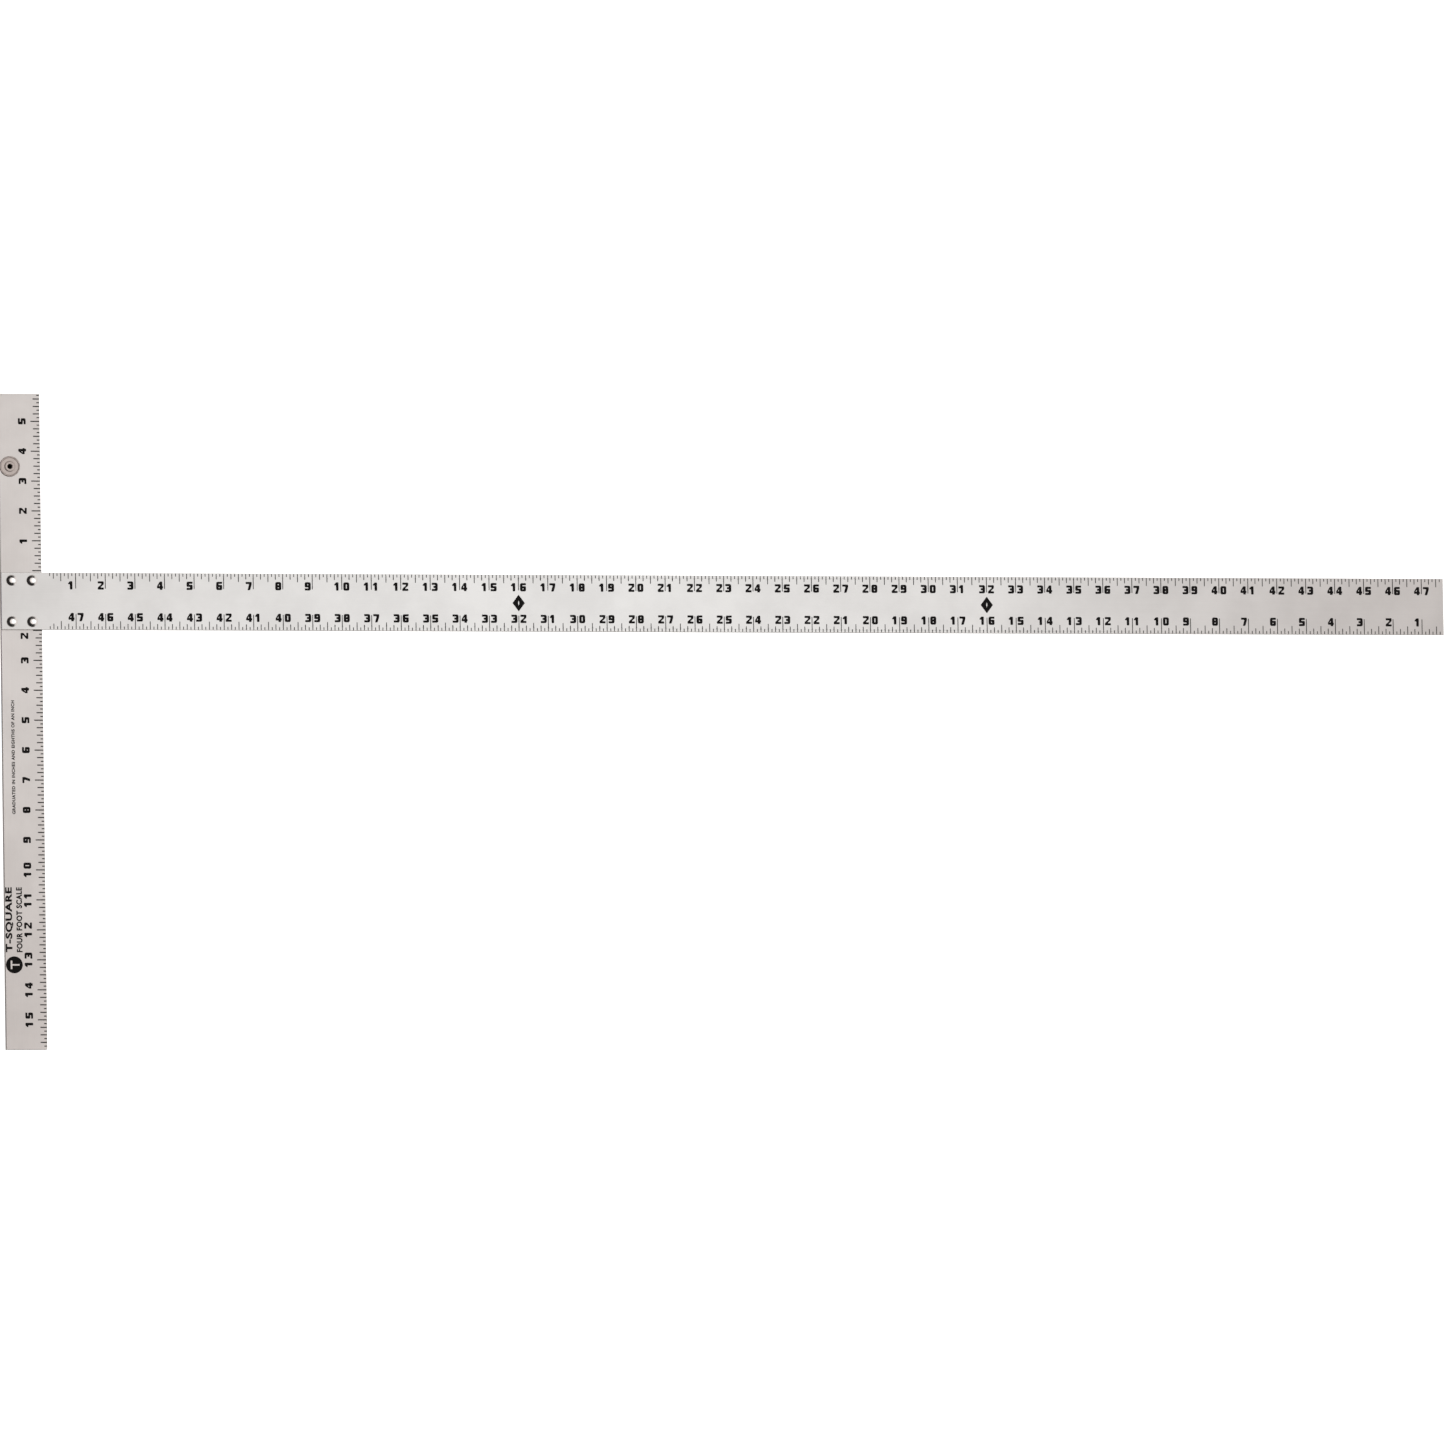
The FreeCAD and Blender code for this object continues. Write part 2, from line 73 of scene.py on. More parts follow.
# %% [markdown]
# ## Where everything is
#
# A maker measures before cutting.  Every place below is worked out from the design's
# own boxes: the blade's top face carries the long scales, the head's top face the
# short ones, and both scales count from close to the corner where blade and head meet.

# %% Measure the bars
blade_low, blade_high = (Vector(corner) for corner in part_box("blade"))
head_low, head_high = (Vector(corner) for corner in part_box("head"))
BLADE_TOP = blade_high.z
HEAD_TOP = head_high.z
BLADE_HALF_WIDTH = (blade_high.y - blade_low.y) / 2
HEAD_HALF_WIDTH = (head_high.x - head_low.x) / 2
INK_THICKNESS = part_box("stud_marks")[1][2] - BLADE_TOP
eyelet_low, eyelet_high = (Vector(corner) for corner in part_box("hang_eyelet"))
eyelet_centre = (eyelet_low + eyelet_high) / 2
eyelet_radius = (eyelet_high.x - eyelet_low.x) / 2
print(f"blade {1000 * (blade_high.x - blade_low.x):.1f} mm long,"
      f" head {1000 * (head_high.y - head_low.y):.1f} mm long,"
      f" print {1000 * INK_THICKNESS:.3f} mm thick")

# %% [markdown]
# ## The camera
#
# A square lies flat, and it is seen from high above through a very long lens, so that
# its two bars look almost parallel-sided.  The camera stands off a little to the
# head's side and is rolled by under a degree, as a camera on a copy stand may be.  It
# is made first, because every later choice is judged through it.  The Standard view
# transform shows colours as they are; a filmic one would grey the white paper.

# %% Camera
CAMERA_PLACE = Vector((-2.7159, -1.7047, 16.6171))
AIM_FROM_MIDDLE = Vector((-0.0061, 0.0002, 0))
CAMERA_ROLL = math.radians(-0.9072)
LENS = 498.3
SENSOR_WIDTH = 36
FARTHEST_SEEN = 200


def level_view(place, aim, roll):
    """A camera's rotation when it looks from a place to an aim, with +Y upwards in view."""
    forward = (aim - place).normalized()
    right = forward.cross(Vector((0, 1, 0))).normalized()
    up = right.cross(forward)
    level = Matrix((right, up, -forward)).transposed()
    return (level @ Matrix.Rotation(roll, 3, "Z")).to_euler()


box_middle = (Vector(cad_box[0]) + Vector(cad_box[1])) / 2
box_middle.z = BLADE_TOP
camera_aim = box_middle + AIM_FROM_MIDDLE
camera_data = bpy.data.cameras.new("studio_camera")
camera_data.lens = LENS
camera_data.sensor_width = SENSOR_WIDTH
camera_data.clip_end = FARTHEST_SEEN
camera_data.dof.use_dof = False
camera = bpy.data.objects.new("studio_camera", camera_data)
camera.location = CAMERA_PLACE
camera.rotation_euler = level_view(CAMERA_PLACE, camera_aim, CAMERA_ROLL)
bpy.context.collection.objects.link(camera)
bpy.context.scene.camera = camera
bpy.context.scene.view_settings.view_transform = "Standard"
print(f"camera {CAMERA_PLACE.length:.1f} m away, lens {LENS} mm,"
      f" turned {[round(angle, 4) for angle in camera.rotation_euler]}")

# %% [markdown]
# ## The studio
#
# Metal shows what it reflects.  Flat satin bars seen from above need a calm, even
# light to mirror, while polished rivet heads need something dark near it or they
# vanish.  So the world is a plain studio dome: one soft round light just where the
# bars mirror it to the camera, a dark band round it, and pale walls low down and to
# the right.  Edges that go by angle are in degrees; the right side's are along X.  A
# large round lamp high over the blade adds the slow fade towards its two ends.

# %% A short way to add nodes
def fill_inputs(tree, node, inputs):
    """Links or sets a node's inputs, each given by its name or number."""
    for name, source in inputs.items():
        if isinstance(source, bpy.types.NodeSocket):
            tree.links.new(source, node.inputs[name])
        else:
            node.inputs[name].default_value = source


def add_node(tree, kind, inputs=None, **settings):
    """Adds a node, sets its properties and fills its inputs."""
    node = tree.nodes.new(kind)
    for name, setting in settings.items():
        setattr(node, name, setting)
    fill_inputs(tree, node, inputs or {})
    return node


def math_node(tree, operation, *values, clamp=False):
    """One step of arithmetic, returned as its result."""
    inputs = dict(enumerate(values))
    return add_node(tree, "ShaderNodeMath", inputs, operation=operation, use_clamp=clamp).outputs[0]


def smooth_step(tree, value, low, high):
    """Runs in an even curve from 0 at low to 1 at high, and is level outside them."""
    inputs = {"Value": value, "From Min": low, "From Max": high}
    node = add_node(tree, "ShaderNodeMapRange", inputs, interpolation_type="SMOOTHSTEP")
    return node.outputs["Result"]


def mix_colour(tree, factor, first, second):
    """Two colours mixed, returned as the result."""
    node = add_node(tree, "ShaderNodeMix", {0: factor, 6: first, 7: second}, data_type="RGBA")
    return node.outputs[2]


# %% Studio dome
SOFTBOX_STRENGTH = 0.98
RIGHT_STRENGTH = 0.80
WALL_STRENGTH = 0.62
BAND_STRENGTH = 0.02
SOFTBOX_EDGE = (25, 19)
WALL_EDGE = (39, 60)
RIGHT_EDGE = (0.30, 0.65)
SOFTBOX_COLOUR = (1.0, 0.925, 0.89, 1)
WALL_COLOUR = (1.0, 0.93, 0.89, 1)

world = bpy.data.worlds.new("studio_dome")
bpy.context.scene.world = world
world.use_nodes = True
dome = world.node_tree
dome.nodes.clear()
direction = add_node(dome, "ShaderNodeTexCoord").outputs["Generated"]
axes = add_node(dome, "ShaderNodeSeparateXYZ", {0: direction})
blade_middle = Vector(((blade_low.x + blade_high.x) / 2, 0, BLADE_TOP))
to_camera = (Vector(camera.location) - blade_middle).normalized()
mirrored = Vector((-to_camera.x, -to_camera.y, to_camera.z))
towards_softbox = add_node(
    dome, "ShaderNodeVectorMath", {0: direction, 1: mirrored}, operation="DOT_PRODUCT"
).outputs["Value"]


def cosines(degrees):
    """A pair of angles as the cosines that a dot product is compared with."""
    return [math.cos(math.radians(angle)) for angle in degrees]


softbox = smooth_step(dome, towards_softbox, *cosines(SOFTBOX_EDGE))
walls = smooth_step(dome, axes.outputs["Z"], *cosines(WALL_EDGE))
right = smooth_step(dome, axes.outputs["X"], *RIGHT_EDGE)
strength = BAND_STRENGTH
for part, part_strength in ((softbox, SOFTBOX_STRENGTH), (right, RIGHT_STRENGTH), (walls, WALL_STRENGTH)):
    lit = math_node(dome, "MULTIPLY", part, part_strength)
    strength = math_node(dome, "MAXIMUM", strength, lit)
tint = mix_colour(dome, softbox, WALL_COLOUR, SOFTBOX_COLOUR)
studio = add_node(dome, "ShaderNodeBackground", {"Color": tint, "Strength": strength})
paper = add_node(dome, "ShaderNodeBackground", {"Color": (1, 1, 1, 1), "Strength": 1.0})
seen = add_node(dome, "ShaderNodeLightPath").outputs["Is Camera Ray"]
choice = add_node(dome, "ShaderNodeMixShader", {0: seen, 1: studio.outputs[0], 2: paper.outputs[0]})
add_node(dome, "ShaderNodeOutputWorld", {"Surface": choice.outputs[0]})
print("softbox", SOFTBOX_STRENGTH, "towards", [round(v, 3) for v in mirrored])

# %% Overhead lamp
LAMP_HEIGHT = 1.5
LAMP_SIZE = 1.14
LAMP_POWER = 2.04
LAMP_CENTRE = (0.74, 0.16)
lamp_data = bpy.data.lights.new("overhead_lamp", "AREA")
lamp_data.shape = "DISK"
lamp_data.size = LAMP_SIZE
lamp_data.energy = LAMP_POWER
lamp_data.color = (0.90, 0.985, 1.0)
lamp = bpy.data.objects.new("overhead_lamp", lamp_data)
lamp.location = (*LAMP_CENTRE, LAMP_HEIGHT)
lamp.visible_camera = False
bpy.context.collection.objects.link(lamp)
print("lamp", LAMP_POWER, "W at", [round(v, 2) for v in lamp.location])

# %% [markdown]
# ## The floor
#
# The square lies on a sheet of white paper, large enough to fill any view. The
# camera sees the paper fully lit, as a light table is, and the metal sees it as
# ordinary paper. Under the eyelet the paper carries painted shade: a near-black
# disc, left unlit for the camera, stands for the shadow inside the hanging hole.

# %% Floor
FLOOR_HALF = 40.0
FLOOR_DROP = 0.05 * MM
PAPER_COLOUR = (0.93, 0.93, 0.93, 1)
# The near-black colour below is painted shade under the eyelet, standing for the shadow in the hanging
# hole.
PAINTED_SHADE_COLOUR = (0.01, 0.01, 0.01, 1)

floor_bm = bmesh.new()
bmesh.ops.create_grid(floor_bm, x_segments=1, y_segments=1, size=FLOOR_HALF)
bmesh.ops.translate(floor_bm, verts=floor_bm.verts, vec=(0, 0, cad_box[0][2] - FLOOR_DROP))
floor_mesh = bpy.data.meshes.new("floor")
floor_bm.to_mesh(floor_mesh)
floor_bm.free()
floor = bpy.data.objects.new("floor", floor_mesh)
bpy.context.collection.objects.link(floor)

floor_material = bpy.data.materials.new("white_paper")
floor_material.use_nodes = True
tree = floor_material.node_tree
shader = tree.nodes["Principled BSDF"]
shader.inputs["Roughness"].default_value = 0.9
shader.inputs["Specular IOR Level"].default_value = 0.1
floor_point = add_node(tree, "ShaderNodeTexCoord").outputs["Object"]
painted_shade_centre = (eyelet_centre.x, eyelet_centre.y, 0)
from_painted_shade = add_node(
    tree, "ShaderNodeVectorMath", {0: floor_point, 1: painted_shade_centre}, operation="DISTANCE"
).outputs["Value"]
# Painted shade: inside the eyelet's radius the paper turns near-black and loses its camera glow, standing
# for the hole's shadow.
outside = math_node(tree, "GREATER_THAN", from_painted_shade, eyelet_radius)
paper_with_painted_shade = mix_colour(tree, outside, PAINTED_SHADE_COLOUR, PAPER_COLOUR)
tree.links.new(paper_with_painted_shade, shader.inputs["Base Color"])
seen = add_node(tree, "ShaderNodeLightPath").outputs["Is Camera Ray"]
tree.links.new(math_node(tree, "MULTIPLY", outside, seen), shader.inputs["Emission Strength"])
shader.inputs["Emission Color"].default_value = (1, 1, 1, 1)
floor_mesh.materials.append(floor_material)
print("floor", 2 * FLOOR_HALF, "m square")

# %% [markdown]
# ## Effects shared by the metals and the print
#
# Four small effects are built once as node groups.  *Lengthwise grain* is the fine
# streaking that drawing a bar through a die leaves.  *Mottle* is the slow unevenness
# of anodising.  *Hairlines* are the stray scratches of a used tool.  *Edge rub* is
# the polish that hands and sheet edges give the long edges.  Each could be drawn again
# in every material, but one group keeps its pattern the same wherever it is placed.

# %% Node group helper
def new_group(name, inputs, outputs):
    """An empty shader group with named sockets, returned with its two end nodes."""
    group = bpy.data.node_groups.new(name, "ShaderNodeTree")
    for socket, kind, default in inputs:
        made = group.interface.new_socket(socket, in_out="INPUT", socket_type=kind)
        if default is not None:
            made.default_value = default
    for socket, kind in outputs:
        group.interface.new_socket(socket, in_out="OUTPUT", socket_type=kind)
    return group, group.nodes.new("NodeGroupInput").outputs, group.nodes.new("NodeGroupOutput").inputs


def use_group(tree, group, inputs):
    """Places a group in a material and returns its outputs."""
    node = tree.nodes.new("ShaderNodeGroup")
    node.node_tree = group
    fill_inputs(tree, node, inputs)
    return node.outputs


def noise(tree, vector, detail=2.0, roughness=0.5, scale=1.0):
    """A noise pattern's value at a scaled point."""
    inputs = {"Vector": vector, "Scale": scale, "Detail": detail, "Roughness": roughness}
    return add_node(tree, "ShaderNodeTexNoise", inputs).outputs["Fac"]


def stretched(tree, vector, per_metre):
    """A point multiplied by a number of pattern cells per metre on each axis."""
    inputs = {0: vector, 1: per_metre}
    return add_node(tree, "ShaderNodeVectorMath", inputs, operation="MULTIPLY").outputs[0]


# %% Lengthwise grain
grain_group, grain_in, grain_out = new_group(
    "lengthwise_grain",
    [("Vector", "NodeSocketVector", None)],
    [("Tone", "NodeSocketFloat"), ("Height", "NodeSocketFloat")],
)
tree = grain_group
coarse = noise(tree, stretched(tree, grain_in["Vector"], (9, 900, 900)), detail=3, roughness=0.6)
fine = noise(tree, stretched(tree, grain_in["Vector"], (40, 5200, 5200)), detail=2, roughness=0.7)
both = math_node(tree, "MULTIPLY_ADD", fine, 0.45, math_node(tree, "MULTIPLY", coarse, 0.55))
tree.links.new(both, grain_out["Tone"])
tree.links.new(fine, grain_out["Height"])
print("group", grain_group.name)

# %% Mottle
mottle_group, mottle_in, mottle_out = new_group(
    "mottle",
    [("Vector", "NodeSocketVector", None), ("Cells per metre", "NodeSocketFloat", 14.0)],
    [("Tone", "NodeSocketFloat")],
)
tree = mottle_group
cloud = noise(tree, mottle_in["Vector"], detail=4, roughness=0.6, scale=mottle_in["Cells per metre"])
tree.links.new(smooth_step(tree, cloud, 0.3, 0.7), mottle_out["Tone"])
print("group", mottle_group.name)

# %% Hairlines
HAIRLINE_LEANS = (0.12, -0.5, 1.25)
HAIRLINE_SHIFT = 3.1
hairline_group, hairline_in, hairline_out = new_group(
    "hairlines",
    [("Vector", "NodeSocketVector", None)],
    [("Mask", "NodeSocketFloat")],
)
tree = hairline_group
lines = None
for number, lean in enumerate(HAIRLINE_LEANS):
    shift = (number * HAIRLINE_SHIFT, 0, 0)
    turned = add_node(
        tree, "ShaderNodeMapping",
        {"Vector": hairline_in["Vector"], "Rotation": (0, 0, lean), "Location": shift},
    ).outputs[0]
    streak = noise(tree, stretched(tree, turned, (28, 2600, 1)), detail=0)
    patch = noise(tree, turned, detail=1, scale=24)
    line = math_node(
        tree, "MULTIPLY", smooth_step(tree, streak, 0.76, 0.80), smooth_step(tree, patch, 0.56, 0.66)
    )
    lines = line if lines is None else math_node(tree, "MAXIMUM", lines, line)
tree.links.new(lines, hairline_out["Mask"])
print("group", hairline_group.name, "with", len(HAIRLINE_LEANS), "directions")

# %% Edge rub
rub_group, rub_in, rub_out = new_group(
    "edge_rub",
    [
        ("Vector", "NodeSocketVector", None),
        ("Half width", "NodeSocketFloat", 0.02),
        ("Depth", "NodeSocketFloat", 0.0008),
    ],
    [("Mask", "NodeSocketFloat")],
)
tree = rub_group
across = add_node(tree, "ShaderNodeSeparateXYZ", {0: rub_in["Vector"]}).outputs["Y"]
from_edge = math_node(tree, "SUBTRACT", rub_in["Half width"], math_node(tree, "ABSOLUTE", across))
ragged = noise(tree, stretched(tree, rub_in["Vector"], (55, 400, 400)), detail=4, roughness=0.65)
reach = math_node(tree, "MULTIPLY", rub_in["Depth"], math_node(tree, "MULTIPLY", ragged, 2.0))
nearness = math_node(tree, "SUBTRACT", 1.0, math_node(tree, "DIVIDE", from_edge, reach), clamp=True)
tree.links.new(nearness, rub_out["Mask"])
print("group", rub_group.name)

# %% [markdown]
# ## Satin aluminium
#
# Both bars are clear-anodised aluminium: fully metallic, with a satin roughness that
# the grain varies, and a hint of warmth where the anodising is uneven.  The blade's
# grain runs along X.  The head's runs along Y, so a Mapping node turns the same
# pattern a quarter turn.  A picture of brushed metal could be laid on instead, but it
# blurs close up and repeats along four feet of bar, which noise never does.

# %% Material helpers
SCRATCH_COLOUR = (0.70, 0.69, 0.68, 1)
RUBBED_COLOUR = (0.72, 0.71, 0.70, 1)


def new_material(name):
    """A node material, returned with its tree and its Principled shader."""
    material = bpy.data.materials.new(name)
    material.use_nodes = True
    tree = material.node_tree
    return material, tree, tree.nodes["Principled BSDF"]


def object_point(tree, turn=0.0):
    """The point on the piece, in the design's own frame, turned about Z."""
    point = add_node(tree, "ShaderNodeTexCoord").outputs["Object"]
    if turn:
        point = add_node(tree, "ShaderNodeMapping", {"Vector": point, "Rotation": (0, 0, turn)}).outputs[0]
    return point


def satin_aluminium(name, half_width, turn, light, dark):
    """Anodised bar stock with grain along the bar."""
    material, tree, shader = new_material(name)
    point = object_point(tree, turn)
    grain = use_group(tree, grain_group, {"Vector": point})
    mottle = use_group(tree, mottle_group, {"Vector": point, "Cells per metre": 22.0})
    hairlines = use_group(tree, hairline_group, {"Vector": point})
    rub = use_group(tree, rub_group, {"Vector": point, "Half width": half_width})
    clouds = math_node(tree, "MULTIPLY", mottle["Tone"], 0.4)
    tone = math_node(tree, "MULTIPLY_ADD", grain["Tone"], 0.6, clouds)
    scratched = math_node(tree, "MULTIPLY", hairlines["Mask"], 0.35)
    polished = math_node(tree, "MULTIPLY", rub["Mask"], 0.5)
    colour = mix_colour(tree, tone, dark, light)
    colour = mix_colour(tree, scratched, colour, SCRATCH_COLOUR)
    colour = mix_colour(tree, polished, colour, RUBBED_COLOUR)
    tree.links.new(colour, shader.inputs["Base Color"])
    rough = math_node(tree, "MULTIPLY_ADD", grain["Tone"], 0.10, 0.26)
    rough = math_node(tree, "MULTIPLY_ADD", hairlines["Mask"], 0.08, rough)
    rough = math_node(tree, "SUBTRACT", rough, math_node(tree, "MULTIPLY", rub["Mask"], 0.10))
    tree.links.new(rough, shader.inputs["Roughness"])
    cut = math_node(tree, "MULTIPLY", hairlines["Mask"], 0.5)
    relief = math_node(tree, "SUBTRACT", grain["Height"], cut)
    bump = add_node(tree, "ShaderNodeBump", {"Strength": 0.22, "Distance": 0.02 * MM, "Height": relief})
    tree.links.new(bump.outputs[0], shader.inputs["Normal"])
    shader.inputs["Metallic"].default_value = 1.0
    return material


# %% The two bars
QUARTER_TURN = math.pi / 2
blade_aluminium = satin_aluminium(
    "blade_aluminium", BLADE_HALF_WIDTH, 0.0, (0.665, 0.663, 0.660, 1), (0.535, 0.530, 0.527, 1)
)
head_aluminium = satin_aluminium(
    "head_aluminium", HEAD_HALF_WIDTH, QUARTER_TURN, (0.636, 0.615, 0.605, 1), (0.509, 0.488, 0.478, 1)
)


def dress(node, material):
    """Gives a piece of the design a finish in its own material slot."""
    node_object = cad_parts[node]
    for slot in node_object.material_slots:
        slot.material = material


dress("blade", blade_aluminium)
dress("head", head_aluminium)
print("dressed the blade and the head")

# %% [markdown]
# ## The print
#
# Black ink sits on the anodising.  It is a matt black, slightly warm, and thin in
# places, so specks of it are lighter.  It could be painted into the metal's own colour,
# but thin solids keep its edges crisp at any distance.  The ticks and the stud marks
# are already right in the design and only need the ink.

# %% Ink
INK_COLOUR = (0.006, 0.0055, 0.0055, 1)
THIN_INK_COLOUR = (0.05, 0.046, 0.044, 1)
ink_material, tree, shader = new_material("black_ink")
point = object_point(tree)
thin = noise(tree, point, detail=3, roughness=0.7, scale=900.0)
specks = smooth_step(tree, thin, 0.62, 0.72)
ink_colour = mix_colour(tree, math_node(tree, "MULTIPLY", specks, 0.5), INK_COLOUR, THIN_INK_COLOUR)
tree.links.new(ink_colour, shader.inputs["Base Color"])
tree.links.new(math_node(tree, "MULTIPLY_ADD", thin, 0.25, 0.50), shader.inputs["Roughness"])
shader.inputs["Specular IOR Level"].default_value = 0.15
for node in ("blade_ticks_upper", "blade_ticks_lower", "head_ticks", "stud_marks"):
    dress(node, ink_material)
print("inked the ticks and the stud marks")

# %% [markdown]
# ## Numerals
#
# The numerals are broad, heavy and square-shouldered with rounded corners, so that
# they can be read across a sheet of board.  Each digit is a flat closed curve whose
# corners lie on a small grid: four columns and six rows, set by the width of the
# stems and the height of the bars.  The 1, 3, 4 and 7 need a few lines of their own.  A
# word such as c4 names one crossing.  Counters are inner outlines, and Blender's curve
# fill leaves them open.  A corner's radius follows its shorter side, so bowls come out
# round and stroke ends stay crisp.  Blender's own font would be quicker to set, but it
# is neither this broad nor this square.

# %% The grid and the digits
DIGIT_WIDTH = 5.2
DIGIT_HEIGHT = 6.8
STEM = 2.2
BAR = 1.75
COLUMNS = {
    "a": 0,
    "b": STEM,
    "c": DIGIT_WIDTH - STEM,
    "d": DIGIT_WIDTH,
    "e": (DIGIT_WIDTH - STEM) / 2,
    "f": (DIGIT_WIDTH + STEM) / 2,
    "g": 0.28 * DIGIT_WIDTH,
    "h": DIGIT_WIDTH - 0.6,
    "k": DIGIT_WIDTH - 0.6 - STEM,
}
ROWS = {
    "0": 0,
    "1": BAR,
    "2": (DIGIT_HEIGHT - BAR) / 2,
    "3": (DIGIT_HEIGHT + BAR) / 2,
    "4": DIGIT_HEIGHT - BAR,
    "5": DIGIT_HEIGHT,
    "6": 0.18 * DIGIT_HEIGHT,
    "7": 0.18 * DIGIT_HEIGHT + BAR,
    "8": 0.68 * DIGIT_HEIGHT,
}
DIGITS = {
    "0": ["a0 d0 d5 a5", "b1 c1 c4 b4"],
    "1": ["e0 f0 f5 e5 a4 a3 e3"],
    "2": ["a0 d0 d1 b1 d3 d5 a5 a4 c4 c3 a1"],
    "3": ["a0 d0 d5 a5 a4 c4 c3 g3 g2 c2 c1 a1"],
    "4": ["k0 h0 h6 d6 d7 h7 h5 k5 a7 a6 k6", "k7 k8 g7"],
    "5": ["a0 d0 d3 b3 b4 d4 d5 a5 a2 c2 c1 a1"],
    "6": ["a0 d0 d3 b3 b4 d4 d5 a5", "b1 c1 c2 b2"],
    "7": ["g0 f0 d8 d5 a5 a4 c4"],
    "8": ["a0 d0 d5 a5", "b1 c1 c2 b2", "b3 c3 c4 b4"],
    "9": ["a0 d0 d5 a5 a2 c2 c1 a1", "b3 c3 c4 b4"],
}


def crossings(words):
    """The grid places that an outline's words name."""
    return [(COLUMNS[word[0]], ROWS[word[1]]) for word in words.split()]


print("drew", len(DIGITS), "digits")

# %% From outline to mesh
LARGEST_CORNER = 1.5
CORNER_SHARE = 0.28
ROUND_HANDLE = 0.5523
CURVE_STEPS = 4


def add_rounded_outline(curve, corners):
    """A closed Bezier outline through corners, each rounded by its shorter side."""
    points = [Vector((x, y, 0)) for x, y in corners]
    spline = curve.splines.new("BEZIER")
    spline.bezier_points.add(2 * len(points) - 1)
    spline.use_cyclic_u = True
    for index, corner in enumerate(points):
        before = points[index - 1] - corner
        after = points[(index + 1) % len(points)] - corner
        radius = min(LARGEST_CORNER, CORNER_SHARE * min(before.length, after.length))
        arrive = corner + before.normalized() * radius
        leave = corner + after.normalized() * radius
        first, second = spline.bezier_points[2 * index], spline.bezier_points[2 * index + 1]
        for bezier in (first, second):
            bezier.handle_left_type = bezier.handle_right_type = "FREE"
        first.co = first.handle_left = arrive
        first.handle_right = arrive.lerp(corner, ROUND_HANDLE)
        second.co = second.handle_right = leave
        second.handle_left = leave.lerp(corner, ROUND_HANDLE)


def curve_to_mesh(curve):
    """The filled curve as a closed mesh whose doubled points are merged."""
    holder = bpy.data.objects.new(curve.name, curve)
    bpy.context.collection.objects.link(holder)
    bpy.context.view_layer.update()
    depsgraph = bpy.context.evaluated_depsgraph_get()
    mesh = bpy.data.meshes.new_from_object(holder.evaluated_get(depsgraph))
    bpy.data.objects.remove(holder)
    bm = bmesh.new()
    bm.from_mesh(mesh)
    bmesh.ops.remove_doubles(bm, verts=bm.verts, dist=1e-5)
    bmesh.ops.recalc_face_normals(bm, faces=bm.faces)
    bm.to_mesh(mesh)
    bm.free()
    return mesh


def digit_mesh(digit):
    """One digit as a thin block, a millimetre to the unit."""
    curve = bpy.data.curves.new(f"digit_{digit}", "CURVE")
    curve.dimensions = "2D"
    curve.fill_mode = "BOTH"
    curve.resolution_u = CURVE_STEPS
    curve.extrude = 0.5
    for words in DIGITS[digit]:
        add_rounded_outline(curve, crossings(words))
    return curve_to_mesh(curve)


digit_meshes = {digit: digit_mesh(digit) for digit in DIGITS}
print("digit faces:", {digit: len(mesh.polygons) for digit, mesh in digit_meshes.items()})

# %% Setting type on a bar
def stamp(bm, mesh, matrix):
    """Adds a placed copy of a mesh to a bmesh."""
    start = len(bm.verts)
    bm.from_mesh(mesh)
    bm.verts.ensure_lookup_table()
    bmesh.ops.transform(bm, matrix=matrix, verts=bm.verts[start:])


def print_place(x, y, surface, scale, turn=0.0):
    """Where a flat unit mark goes: scaled to size, turned, and sitting on a surface."""
    size = Matrix.Diagonal((scale[0], scale[1], INK_THICKNESS, 1))
    rotation = Matrix.Rotation(turn, 4, "Z")
    return Matrix.Translation((x, y, surface + INK_THICKNESS / 2)) @ rotation @ size


def centred_digit(digit, x, y, surface, width, height, turn=0.0):
    """A digit's mesh with the matrix that centres it on a place."""
    scale = (width / DIGIT_WIDTH, height / DIGIT_HEIGHT)
    middle = Matrix.Translation((-DIGIT_WIDTH / 2, -DIGIT_HEIGHT / 2, 0))
    return digit_meshes[digit], print_place(x, y, surface, scale, turn) @ middle


def new_piece(name, bm, material, slot, *nodes):
    """Makes a bmesh a finished piece that rides on the square and replaces nodes."""
    mesh = bpy.data.meshes.new(name)
    bm.to_mesh(mesh)
    bm.free()
    mesh.materials.append(material)
    piece = bpy.data.objects.new(name, mesh)
    bpy.context.collection.objects.link(piece)
    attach(piece, "root")
    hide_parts(*nodes)
    print(name, len(mesh.polygons), "faces")
    return piece


# %% [markdown]
# ## The blade's numerals
#
# The upper row counts from the head to the free end, and the lower row counts back
# from the end, so the square can be read from either side.  A number straddles its
# inch tick: first digit left, second digit right.  A single digit keeps the left
# place.  The rows differ only in the order of their numbers, so one function prints
# both.

# %% Blade numerals
BLADE_INCHES = 47
BLADE_ZERO_GAP = 3.175 * MM
DIGIT_REACH = 3.9 * MM
BLADE_DIGIT_WIDTH = 5.2 * MM
blade_zero = head_high.x + BLADE_ZERO_GAP


def print_blade_row(name, numbers):
    """A row of numbers, one at each inch, in the height of the design's own row."""
    row_low, row_high = (Vector(corner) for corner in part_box(name))
    middle = (row_low.y + row_high.y) / 2
    height = row_high.y - row_low.y
    bm = bmesh.new()
    for inches, number in enumerate(numbers, start=1):
        tick = blade_zero + inches * INCH
        for digit, x in zip(str(number), (tick - DIGIT_REACH, tick + DIGIT_REACH)):
            stamp(bm, *centred_digit(digit, x, middle, BLADE_TOP, BLADE_DIGIT_WIDTH, height))
    return new_piece(f"{name}_print", bm, ink_material, "black_ink", name)


print_blade_row("blade_numerals_upper", range(1, BLADE_INCHES + 1))
print_blade_row("blade_numerals_lower", range(BLADE_INCHES, 0, -1))

# %% [markdown]
# ## The head's numerals
#
# The head counts inches both ways from just above the blade's upper edge, and its
# numbers stand sideways: their feet face the working edge.  The number nearest the
# blade's lower edge has no room at its tick and is printed a little further down.

